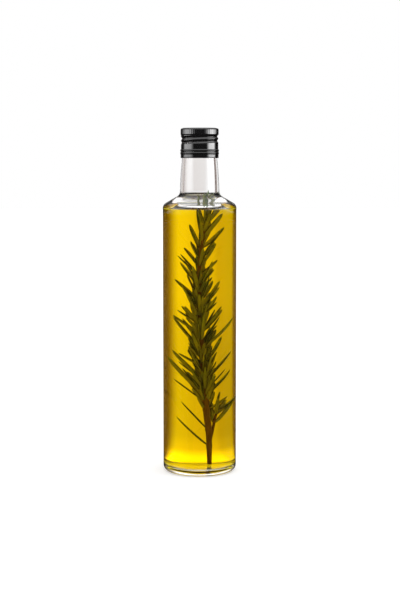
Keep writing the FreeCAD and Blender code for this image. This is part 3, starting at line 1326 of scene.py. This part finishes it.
@dataclass
class Sprig:
    """The rosemary sprig, which stands on the floor of the bottle and leans on nothing."""

    stem: tuple[Place, ...] = (
        (5.6, 0.0, 6.3),
        (5.2, 0.0, 34.0),
        (3.9, 0.4, 51.0),
        (2.3, 0.8, 81.0),
        (1.1, 0.5, 103.0),
        (0.4, 0.0, 122.0),
        (-0.1, -0.5, 148.0),
        (-0.1, 0.0, 173.0),
        (1.0, 0.5, 190.0),
        (2.6, 0.6, 203.0),
        (3.4, 0.6, 209.0),
    )
    twig: tuple[Place, ...] = (
        (5.3, 0.2, 23.0),
        (7.0, 1.6, 34.0),
        (8.6, 2.4, 46.0),
        (10.4, 2.6, 54.0),
    )
    foot_height: float = 10.0
    knee_height: float = 44.0
    head_height: float = 209.0
    foot_radius: float = 1.35
    knee_radius: float = 1.95
    head_radius: float = 0.75
    twig_radii: Point = (1.0, 0.65)
    node_swell: float = 0.16
    node_reach: float = 1.3
    leaf_seat: float = 0.6
    ridges: int = 4
    ridge_height: float = 0.07
    ridge_turn: float = 0.6
    sides: int = 14
    stem_steps: int = 16
    twig_steps: int = 8
    seed: int = 11
    roll: float = 65.0
    young_length: Point = (11.0, 23.0)
    young_opening: Point = (8.0, 40.0)
    young_width: Point = (1.9, 2.6)
    young_swing: float = 80.0
    length_spread: float = 0.08
    lean: float = 0.09
    planting_seed: int = 7
    nodes: tuple[Node, ...] = (
        Node(22, 8, left=Leaf(30, 39, ARCHED, 2.6)),
        Node(36, -6, left=Leaf(28, 31, SWEPT, 2.4)),
        Node(53, 5, right=Leaf(17, 50, HOOKED, 2.2), tuft=1),
        Node(60, 150, right=Leaf(27, 42, ARCHED, 2.5), left=Leaf(20, 22), tuft=5),
        Node(65, -8, left=Leaf(36, 27, HOOKED, 3.0), right=Leaf(27, 43, STRAIGHT, 3.0), tuft=5),
        Node(70, 70, right=Leaf(23, 20, ARCHED), left=Leaf(26, 34, SWEPT), tuft=6),
        Node(77, 14, right=Leaf(30, 36, ARCHED, 2.9), left=Leaf(30, 31, SWEPT, 2.8), tuft=5),
        Node(84, 115, right=Leaf(24, 32), left=Leaf(26, 26, ARCHED), tuft=6),
        Node(90, 0, left=Leaf(17, 52, HOOKED, 2.1), right=Leaf(25, 26, TWISTED, 2.4), tuft=5),
        Node(97, 60, right=Leaf(26, 38, ARCHED), left=Leaf(24, 24), tuft=5),
        Node(104, -12, left=Leaf(29, 31, HOOKED, 2.9), right=Leaf(32, 37, STRAIGHT, 2.0), tuft=5),
        Node(111, 100, right=Leaf(27, 22, HOOKED), left=Leaf(27, 35), tuft=6),
        Node(118, 10, left=Leaf(23, 44, ARCHED, 2.7), right=Leaf(21, 34, ARCHED), tuft=5),
        Node(125, -16, left=Leaf(18, 49, STRAIGHT, 2.2), right=Leaf(24, 20, SWEPT), tuft=5),
        Node(132, 80, right=Leaf(25, 36), left=Leaf(22, 25, HOOKED), tuft=6),
        Node(138, 4, left=Leaf(24, 30, ARCHED, 2.9), right=Leaf(26, 26, TWISTED), tuft=5),
        Node(145, -24, left=Leaf(22, 38), right=Leaf(18, 24, HOOKED, 2.9), tuft=5),
        Node(152, 70, right=Leaf(21, 32, ARCHED), left=Leaf(23, 20, SWEPT), tuft=3),
        Node(158, 12, left=Leaf(20, 24, SWEPT), right=Leaf(16, 31, ARCHED, 2.7), tuft=2),
        Node(166, -8, left=Leaf(20, 37, STRAIGHT, 2.1), right=Leaf(17, 36), tuft=2),
        Node(173, 95, right=Leaf(22, 24), left=Leaf(19, 34, HOOKED), tuft=2),
        Node(180, 0, left=Leaf(14, 26, ARCHED), right=Leaf(14, 29, STRAIGHT, 2.5), tuft=2),
        Node(188, -4, left=Leaf(20, 24, SWEPT, 3.1), right=Leaf(20, 33, ARCHED, 3.0), tuft=1),
        Node(194, 65, right=Leaf(18, 16), left=Leaf(19, 24, ARCHED)),
        Node(198, 2, left=Leaf(25, 17, ARCHED, 3.0), right=Leaf(23, 26, SWEPT, 3.3)),
        Node(202, 110, right=Leaf(17, 14), left=Leaf(16, 12, ARCHED)),
        Node(207, 8, right=Leaf(28, 13, STRAIGHT, 2.6), left=Leaf(20, 17, ARCHED, 2.5)),
        Node(208, 40, right=Leaf(26, 20, ARCHED, 2.6), left=Leaf(18, 6, ARCHED, 2.3)),
        Node(209, 75, right=Leaf(26, 9, ARCHED, 2.8), left=Leaf(23, 9, STRAIGHT, 2.6)),
    )
    twig_nodes: tuple[Node, ...] = (
        Node(42, 15, right=Leaf(21, 24, STRAIGHT, 2.9), left=Leaf(17, 10, ARCHED, 2.4)),
        Node(49, 80, right=Leaf(13, 22), left=Leaf(14, 18, ARCHED), tuft=1),
        Node(53, 10, right=Leaf(16, 38, ARCHED, 2.8), left=Leaf(14, 12, HOOKED)),
    )

    def tube(self, way: Sequence[Vector], radii: Sequence[float]) -> tuple[list[Place], list[Face]]:
        """A closed tube along a way.

        Args:
            way: The points of its middle line, in millimetres.
            radii: The radius at each point.

        Returns:
            Places in metres and faces.
        """
        vertices, faces = [], []
        for index, (spot, radius) in enumerate(zip(way, radii)):
            ahead = (way[min(index + 1, len(way) - 1)] - way[max(index - 1, 0)]).normalized()
            side = Vector((1.0, 0.0, 0.0)).cross(ahead).normalized()
            other = ahead.cross(side)
            for column in range(self.sides):
                angle = math.tau * column / self.sides
                ridge = self.ridge_height * math.cos(self.ridges * angle + self.ridge_turn)
                reach = radius * (1.0 + ridge)
                place = spot + side * (reach * math.cos(angle)) + other * (reach * math.sin(angle))
                vertices.append(tuple(place * MM))
        for index in range(len(way) - 1):
            for column in range(self.sides):
                beside = (column + 1) % self.sides
                low, high = index * self.sides, (index + 1) * self.sides
                faces.append((low + column, low + beside, high + beside, high + column))
        faces.append(tuple(reversed(range(self.sides))))
        faces.append(tuple((len(way) - 1) * self.sides + column for column in range(self.sides)))
        return vertices, faces

    def wood(self) -> bpy.types.Object:
        """Make the stem and its side twig.

        Returns:
            The stem.
        """
        way = smooth_way(self.stem, self.stem_steps)
        radii = []
        for spot in way:
            if spot.z < self.knee_height:
                share = (spot.z - self.foot_height) / (self.knee_height - self.foot_height)
                radius = self.foot_radius + (self.knee_radius - self.foot_radius) * share
            else:
                share = (spot.z - self.knee_height) / (self.head_height - self.knee_height)
                radius = self.knee_radius + (self.head_radius - self.knee_radius) * share
            swell = sum(math.exp(-(((spot.z - node.height) / self.node_reach) ** 2)) for node in self.nodes)
            radii.append(radius * (1.0 + self.node_swell * min(swell, 1.0)))
        vertices, faces = self.tube(way, radii)
        side_way = smooth_way(self.twig, self.twig_steps)
        thick, thin = self.twig_radii
        side_radii = [thick - (thick - thin) * index / len(side_way) for index in range(len(side_way))]
        more_vertices, more_faces = self.tube(side_way, side_radii)
        shift = len(vertices)
        faces += [tuple(corner + shift for corner in face) for face in more_faces]
        stem = mesh_object("rosemary_stem", vertices + more_vertices, faces)
        stem.data.materials.append(Bark().material())
        settle(stem, "golden_oil")
        return stem

    def roots(self) -> tuple[list[Place], list[Place], list[Place], list[int]]:
        """Where each leaf starts and how it stands.

        Returns:
            Places in metres, turns, sizes in metres and form numbers, one of each for a leaf.
        """
        places, turns, sizes, forms = [], [], [], []
        chance = random.Random(self.seed)

        def add(spot: Vector, ahead: Vector, angle: float, leaf: Leaf) -> None:
            """Plant one leaf.

            Args:
                spot: Where the stem is, in millimetres.
                ahead: The stem's way there.
                angle: Where the leaf is round the stem, in radians.
                leaf: The leaf.
            """
            outward = Vector((math.cos(angle), math.sin(angle), 0.0))
            outward = (outward - ahead * outward.dot(ahead)).normalized()
            opening = math.radians(leaf.opening)
            rise = ahead * math.cos(opening) + outward * math.sin(opening)
            face = ahead * math.sin(opening) - outward * math.cos(opening)
            face.rotate(Matrix.Rotation(math.radians(chance.uniform(-self.roll, self.roll)), 3, rise))
            across = face.cross(rise)
            frame = Matrix((across, face, rise)).transposed()
            places.append(tuple((spot + outward * self.leaf_seat) * MM))
            turns.append(tuple(frame.to_euler("XYZ")))
            sizes.append((leaf.width * MM, leaf.width * MM, leaf.length * MM))
            forms.append(leaf.form.value)

        for line, nodes in ((self.stem, self.nodes), (self.twig, self.twig_nodes)):
            way = smooth_way(line, self.stem_steps)
            for node in nodes:
                near = min(range(len(way)), key=lambda index: abs(way[index].z - node.height))
                ahead = (way[min(near + 1, len(way) - 1)] - way[max(near - 1, 0)]).normalized()
                for side, leaf in ((0.0, node.right), (180.0, node.left)):
                    angle = math.radians(node.turn + side)
                    if leaf:
                        add(way[near], ahead, angle, leaf)
                    for _ in range(node.tuft):
                        swing = math.radians(chance.uniform(-self.young_swing, self.young_swing))
                        length = chance.uniform(*self.young_length)
                        form = chance.choice(list(LeafForm))
                        opening = chance.uniform(*self.young_opening)
                        small = Leaf(length, opening, form, chance.uniform(*self.young_width))
                        add(way[near], ahead, angle + swing, small)
        return places, turns, sizes, forms

    def planting(self) -> ShapeTree:
        """The tree that plants a leaf at each root.

        Returns:
            The tree.
        """
        kinds = {
            "Leaf Forms": "NodeSocketCollection",
            "Length Spread": "NodeSocketFloat",
            "Lean": "NodeSocketFloat",
            "Seed": "NodeSocketInt",
            "Finish": "NodeSocketMaterial",
        }
        tree = ShapeTree("leaf_planting", kinds)
        sheet, size = tree.sheet, tree.size

        def chosen(kind: str, low: Term, high: Term) -> bpy.types.Node:
            """Add a Random Value node that draws with the tree's seed.

            Args:
                kind: The type of what it draws.
                low: The least that it draws.
                high: The most.

            Returns:
                The node.
            """
            first = 0 if kind == "FLOAT_VECTOR" else 2
            feeds = {first: low, first + 1: high, "Seed": size("Seed")}
            return sheet.add("FunctionNodeRandomValue", feeds, data_type=kind)

        feeds = {"Collection": size("Leaf Forms"), "Separate Children": True, "Reset Children": True}
        forms = sheet.add("GeometryNodeCollectionInfo", feeds)
        marks = {
            title: sheet.add("GeometryNodeInputNamedAttribute", {"Name": title}, data_type=kind).outputs[0]
            for title, kind in (("turn", "FLOAT_VECTOR"), ("size", "FLOAT_VECTOR"), ("form", "INT"))
        }
        spread = size("Length Spread")
        chance = chosen("FLOAT", sheet.reckon("SUBTRACT", 1.0, spread), sheet.reckon("ADD", 1.0, spread))
        feeds = {0: marks["size"], "Scale": chance.outputs[1]}
        scale = sheet.add("ShaderNodeVectorMath", feeds, operation="SCALE")
        lean = chosen("FLOAT_VECTOR", sheet.times(size("Lean"), -1.0), size("Lean"))
        swung = sheet.add("ShaderNodeVectorMath", {0: marks["turn"], 1: lean.outputs[0]}, operation="ADD")
        feeds = {
            "Points": size("Geometry"),
            "Instance": forms.outputs[0],
            "Pick Instance": True,
            "Instance Index": marks["form"],
            "Rotation": swung.outputs[0],
            "Scale": scale.outputs[0],
        }
        planted = sheet.add("GeometryNodeInstanceOnPoints", feeds)
        tree.close(planted.outputs[0], size("Finish"))
        return tree

    def foliage(self) -> bpy.types.Object:
        """Grow the leaves.

        Returns:
            The leaves as one piece.
        """
        forms = bpy.data.collections.new("leaf_forms")
        bpy.context.scene.collection.children.link(forms)
        kinds = (
            NeedleLeaf(ARCHED, 0.19, sway=0.02),
            NeedleLeaf(HOOKED, 0.31, sway=0.06),
            NeedleLeaf(STRAIGHT, 0.05),
            NeedleLeaf(SWEPT, -0.13, sway=-0.10),
            NeedleLeaf(TWISTED, 0.14, sway=0.05, twist=1.4),
        )
        for kind in kinds:
            leaf = kind.build()
            bpy.context.scene.collection.objects.unlink(leaf)
            forms.objects.link(leaf)
        places, turns, sizes, numbers = self.roots()
        leaves = mesh_object("rosemary_leaves", places, [])
        for title, values in (("turn", turns), ("size", sizes)):
            mark = leaves.data.attributes.new(title, "FLOAT_VECTOR", "POINT")
            mark.data.foreach_set("vector", [part for value in values for part in value])
        leaves.data.attributes.new("form", "INT", "POINT").data.foreach_set("value", numbers)
        self.planting().work(
            leaves,
            Leaf_Forms=forms,
            Length_Spread=self.length_spread,
            Lean=self.lean,
            Seed=self.planting_seed,
            Finish=LeafSkin().material(),
        )
        for leaf in list(forms.objects):
            bpy.data.objects.remove(leaf)
        bpy.data.collections.remove(forms)
        leaves.data.polygons.foreach_set("use_smooth", [True] * len(leaves.data.polygons))
        settle(leaves, "golden_oil")
        return leaves

    def build(self) -> tuple[bpy.types.Object, bpy.types.Object]:
        """Make the stem and its leaves."""
        return self.wood(), self.foliage()


def settle(piece: bpy.types.Object, slot: str, *nodes: str) -> None:
    """Hand a finished piece to the frame.

    Args:
        piece: The piece.
        slot: The record's material slot; it is not used.
        nodes: The solids that it stands for.
    """
    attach(piece, BODY)
    if nodes:
        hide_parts(*nodes)


# ---------------------------------------------------------------------------------------------------
# The studio
# ---------------------------------------------------------------------------------------------------


# Brightness round the bottle for each angle from straight behind it, in degrees, rising to the right.
BACKLIGHT: tuple[Point, ...] = (
    (-180, 0.85),
    (-120, 0.80),
    (-92, 0.62),
    (-76, 0.16),
    (-64, 0.09),
    (-54, 0.22),
    (-49, 0.56),
    (-44, 0.68),
    (-19, 0.70),
    (-14, 0.84),
    (-5, 0.90),
    (5, 0.97),
    (14, 1.04),
    (23, 1.04),
    (30, 0.76),
    (36, 0.48),
    (43, 0.24),
    (52, 0.11),
    (64, 0.09),
    (76, 0.16),
    (92, 0.62),
    (120, 0.80),
    (180, 0.85),
)

# What red, green and blue are raised to, so that the dim parts of the ring are warmer than the bright ones.
WARMTH = (1.0, 1.2, 1.3)

# The strip straight behind the bottle that is dimmer where it is far off: its edge, the edge of its full
# part, both in degrees, and how much dimmer it is.
STRIP_EDGE = 5.6
STRIP_FULL = 2.6
STRIP_LOSS = 0.13

ANY_TURN = 0.5  # a ray that has turned at least once has a count above this
MANY_PASSES = 2.5  # and one that has passed through at least three surfaces has a count above this


def ring_of_light() -> SharedEffect:
    """The brightness behind the bottle, which changes with the angle round it.

    Returns:
        The group, which takes a place or a direction, and how far off it is, and gives the light's colour.
    """
    ring = SharedEffect(
        "ring_of_light",
        {"Place": "NodeSocketVector", "Far": "NodeSocketFloat"},
        {"Light": "NodeSocketColor"},
    )
    sheet = ring.sheet
    across, deep, _ = sheet.parts(ring.entry.outputs["Place"])
    angle = sheet.reckon("ARCTAN2", across, deep)
    share = sheet.shifted(angle, 1.0 / math.tau, 0.5)
    light = sheet.ramp(share, [(stop / 360.0 + 0.5, level) for stop, level in BACKLIGHT])
    off = sheet.reckon("ABSOLUTE", angle)
    strip = sheet.ease(off, math.radians(STRIP_EDGE), math.radians(STRIP_FULL))
    strip = sheet.times(strip, STRIP_LOSS, ring.entry.outputs["Far"])
    level = sheet.reckon("MAXIMUM", sheet.reckon("SUBTRACT", light, strip), 0.0)
    feeds = {index: sheet.reckon("POWER", level, power) for index, power in enumerate(WARMTH)}
    tone = sheet.add("ShaderNodeCombineColor", feeds)
    sheet.join(tone.outputs[0], ring.result.inputs["Light"])
    return ring


@dataclass(frozen=True)
class SoftBox:
    """A soft lamp that curves round one side of the bottle and fades towards both its ends.

    Its ends are angles in degrees from straight behind the bottle, rising to the right, and its other sizes
    are in metres. Only polished surfaces and matt ones see it.
    """

    name: str
    start: float
    end: float
    strength: float
    low: float = 0.263
    high: float = 0.62
    reach: float = 1.3
    full: float = 0.35
    steps: int = 24

    def shape(self) -> bpy.types.Object:
        """Make the lamp's curved sheet.

        Returns:
            The sheet.
        """
        vertices, faces = [], []
        for step in range(self.steps + 1):
            angle = math.radians(self.start + (self.end - self.start) * step / self.steps)
            for height in (self.low, self.high):
                vertices.append((self.reach * math.sin(angle), self.reach * math.cos(angle), height))
        for step in range(self.steps):
            faces.append((2 * step, 2 * step + 1, 2 * step + 3, 2 * step + 2))
        return mesh_object(self.name, vertices, faces)

    def material(self) -> bpy.types.Material:
        """Build its light.

        Returns:
            An emission that is full in the middle.
        """
        material, sheet = new_material(self.name)
        across, deep, _ = sheet.parts(sheet.place())
        angle = sheet.reckon("ARCTAN2", across, deep)
        middle, half = math.radians((self.start + self.end) / 2), math.radians((self.end - self.start) / 2)
        off = sheet.reckon("ABSOLUTE", sheet.reckon("SUBTRACT", angle, middle))
        soft = sheet.ease(off, half, half * self.full)
        glow = sheet.add("ShaderNodeEmission", {"Strength": sheet.times(soft, self.strength)})
        sheet.show(glow.outputs[0])
        return material

    def build(self) -> None:
        """Hang the lamp."""
        lamp = self.shape()
        lamp.data.materials.append(self.material())
        lamp.visible_camera = False
        lamp.visible_transmission = False
        lamp.visible_shadow = False


@dataclass
class Studio:
    """A pale table, a white surround, soft lamps and the camera.

    Glass shows neither the table nor the surround as they are, but the ring of light, as if they were lit in
    bands. Lengths are in metres.
    """

    distance: float = 1.140
    eye_height: float = 0.261
    tilt: float = 5.87
    lens: float = 82.4
    sideways: float = 0.0003
    table_half: float = 6.0
    table_tone: float = 0.9
    table_glow: float = 0.36
    near_pivot: float = 0.023
    far_off: Point = (2.6, 3.6)
    mirror_loss: float = 0.95
    pool: Point = (0.105, 0.06)
    pool_gain: float = 0.9
    dip_start: Point = (0.10, 0.17)
    dip_end: Point = (1.6, 0.5)
    dip_loss: float = 0.2
    rising: Point = (0.06, 0.15)
    rising_gain: float = 1.3
    overhead: Point = (0.35, 0.75)
    overhead_light: float = 0.75
    plain_light: float = 0.8
    belt_light: float = 1.25
    belt_foot: Point = (0.03, 0.12)
    belt_head: Point = (0.35, 0.6)
    lamps: tuple[SoftBox, ...] = (
        SoftBox("left_lamp", -146.0, -58.0, 2.3),
        SoftBox("right_lamp", 64.0, 138.0, 5.0),
    )

    def camera(self) -> None:
        """Put up the camera."""
        data = bpy.data.cameras.new("camera")
        data.sensor_width = 36.0
        data.lens = self.lens
        data.clip_start, data.clip_end = 0.01, 100.0
        eye = bpy.data.objects.new("camera", data)
        eye.location = (self.sideways, -self.distance, self.eye_height)
        eye.rotation_euler = (math.radians(90.0 - self.tilt), 0.0, 0.0)
        bpy.context.scene.collection.objects.link(eye)
        bpy.context.scene.camera = eye

    def seen_in_glass(self, sheet: NodeSheet, path: bpy.types.Node) -> bpy.types.NodeSocket:
        """Whether a ray looks through or off a glossy surface, and lights no matt one on its way.

        Args:
            sheet: The sheet of the tree.
            path: Its Light Path node.

        Returns:
            1 where it does and 0 elsewhere.
        """
        glossy = sheet.reckon("MAXIMUM", path.outputs["Is Transmission Ray"], path.outputs["Is Glossy Ray"])
        direct = sheet.reckon("LESS_THAN", path.outputs["Diffuse Depth"], ANY_TURN)
        turned = sheet.reckon("GREATER_THAN", path.outputs["Glossy Depth"], ANY_TURN)
        deep = sheet.reckon("GREATER_THAN", path.outputs["Transmission Depth"], MANY_PASSES)
        return sheet.times(glossy, direct, sheet.reckon("SUBTRACT", 1.0, sheet.times(turned, deep)))

    def open_table(self, sheet: NodeSheet, path: bpy.types.Node) -> bpy.types.NodeSocket:
        """The table as it is seen with no glass before it.

        Args:
            sheet: The sheet of the table's material.
            path: Its Light Path node.

        Returns:
            A matt shader with a little glow for the camera.
        """
        paint = sheet.add("ShaderNodeBsdfDiffuse", {"Color": grey(self.table_tone)})
        strength = sheet.times(path.outputs["Is Camera Ray"], self.table_glow)
        glow = sheet.add("ShaderNodeEmission", {"Strength": strength})
        return sheet.add("ShaderNodeAddShader", {0: paint.outputs[0], 1: glow.outputs[0]}).outputs[0]

    def table_in_glass(
        self, sheet: NodeSheet, path: bpy.types.Node, ring: SharedEffect
    ) -> bpy.types.NodeSocket:
        """The table as glass shows it: the ring of light, with a painted bright pool close to the bottle and
        a painted dimmer ring round the pool.

        Args:
            sheet: The sheet of the table's material.
            path: Its Light Path node.
            ring: The ring of light.

        Returns:
            An emission.
        """
        place = sheet.place()
        feeds = {0: place, 1: (0.0, self.near_pivot, 0.0)}
        pivot = sheet.add("ShaderNodeVectorMath", feeds, operation="SUBTRACT")
        distance = sheet.add("ShaderNodeVectorMath", {0: place}, operation="LENGTH").outputs["Value"]
        light = ring.place(sheet, Place=pivot.outputs[0], Far=sheet.ease(distance, *self.far_off))
        mirrored = sheet.shifted(path.outputs["Is Reflection Ray"], -self.mirror_loss, 1.0)
        pool = sheet.shifted(sheet.ease(distance, *self.pool), self.pool_gain, 1.0)
        # painted shade: a dimmer ring a little way out from the bottle, which fades away further off
        dip = sheet.times(sheet.ease(distance, *self.dip_start), sheet.ease(distance, *self.dip_end))
        strength = sheet.times(pool, sheet.shifted(dip, -self.dip_loss, 1.0), mirrored)
        feeds = {"Color": light.outputs[0], "Strength": strength}
        return sheet.add("ShaderNodeEmission", feeds).outputs[0]

    def table(self, ring: SharedEffect) -> None:
        """Lay the table, which keeps the bottle's shadow where it is seen without glass before it.

        Args:
            ring: The ring of light.
        """
        half = self.table_half
        corners = [(-half, -half, 0.0), (half, -half, 0.0), (half, half, 0.0), (-half, half, 0.0)]
        table = mesh_object("table", corners, [(0, 1, 2, 3)])
        material, sheet = new_material("pale_table")
        path = sheet.add("ShaderNodeLightPath")
        looks = (self.seen_in_glass(sheet, path), self.open_table(sheet, path))
        looks += (self.table_in_glass(sheet, path, ring),)
        sheet.show(sheet.add("ShaderNodeMixShader", dict(enumerate(looks))).outputs[0])
        table.data.materials.append(material)

    def surround(self, ring: SharedEffect) -> None:
        """Set the world: white where it is seen, lit in bands behind glass, plain soft light elsewhere.

        Args:
            ring: The ring of light.
        """
        world = bpy.data.worlds.new("surround")
        bpy.context.scene.world = world
        world.use_nodes = True
        sheet = NodeSheet(world.node_tree)
        path = sheet.add("ShaderNodeLightPath")
        place = sheet.place()
        light = ring.place(sheet, Place=place, Far=1.0)
        up = sheet.parts(place)[2]
        lift = sheet.shifted(sheet.ease(up, *self.rising), self.rising_gain, 1.0)
        lift = sheet.times(lift, sheet.shifted(path.outputs["Is Reflection Ray"], -self.mirror_loss, 1.0))
        feeds = {0: light.outputs[0], "Scale": lift}
        low = sheet.add("ShaderNodeVectorMath", feeds, operation="SCALE")
        bands = sheet.blend(sheet.ease(up, *self.overhead), low.outputs[0], grey(self.overhead_light))
        belt = sheet.reckon("SUBTRACT", sheet.ease(up, *self.belt_foot), sheet.ease(up, *self.belt_head))
        plain = sheet.blend(belt, grey(self.plain_light), grey(self.belt_light))
        shown = sheet.blend(self.seen_in_glass(sheet, path), plain, bands)
        colour = sheet.blend(path.outputs["Is Camera Ray"], shown, grey(1.0))
        glow = sheet.add("ShaderNodeBackground", {"Color": colour, "Strength": 1.0})
        sheet.add("ShaderNodeOutputWorld", {"Surface": glow.outputs[0]})

    def build(self) -> None:
        """Set up everything around the bottle."""
        ring = ring_of_light()
        self.camera()
        self.table(ring)
        self.surround(ring)
        for lamp in self.lamps:
            lamp.build()


def main() -> None:
    """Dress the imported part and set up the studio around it."""
    logging.basicConfig(level=logging.INFO, format="%(message)s")
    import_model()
    bpy.context.scene.view_settings.view_transform = "Standard"
    bottle = GlassBottle()
    for piece in (bottle.build(), Oil(bottle).build(), *Sprig().build(), RolledCap().build()):
        log.info("%s: %d faces", piece.name, len(piece.data.polygons))
    Studio().build()


if __name__ == "__main__":
    main()
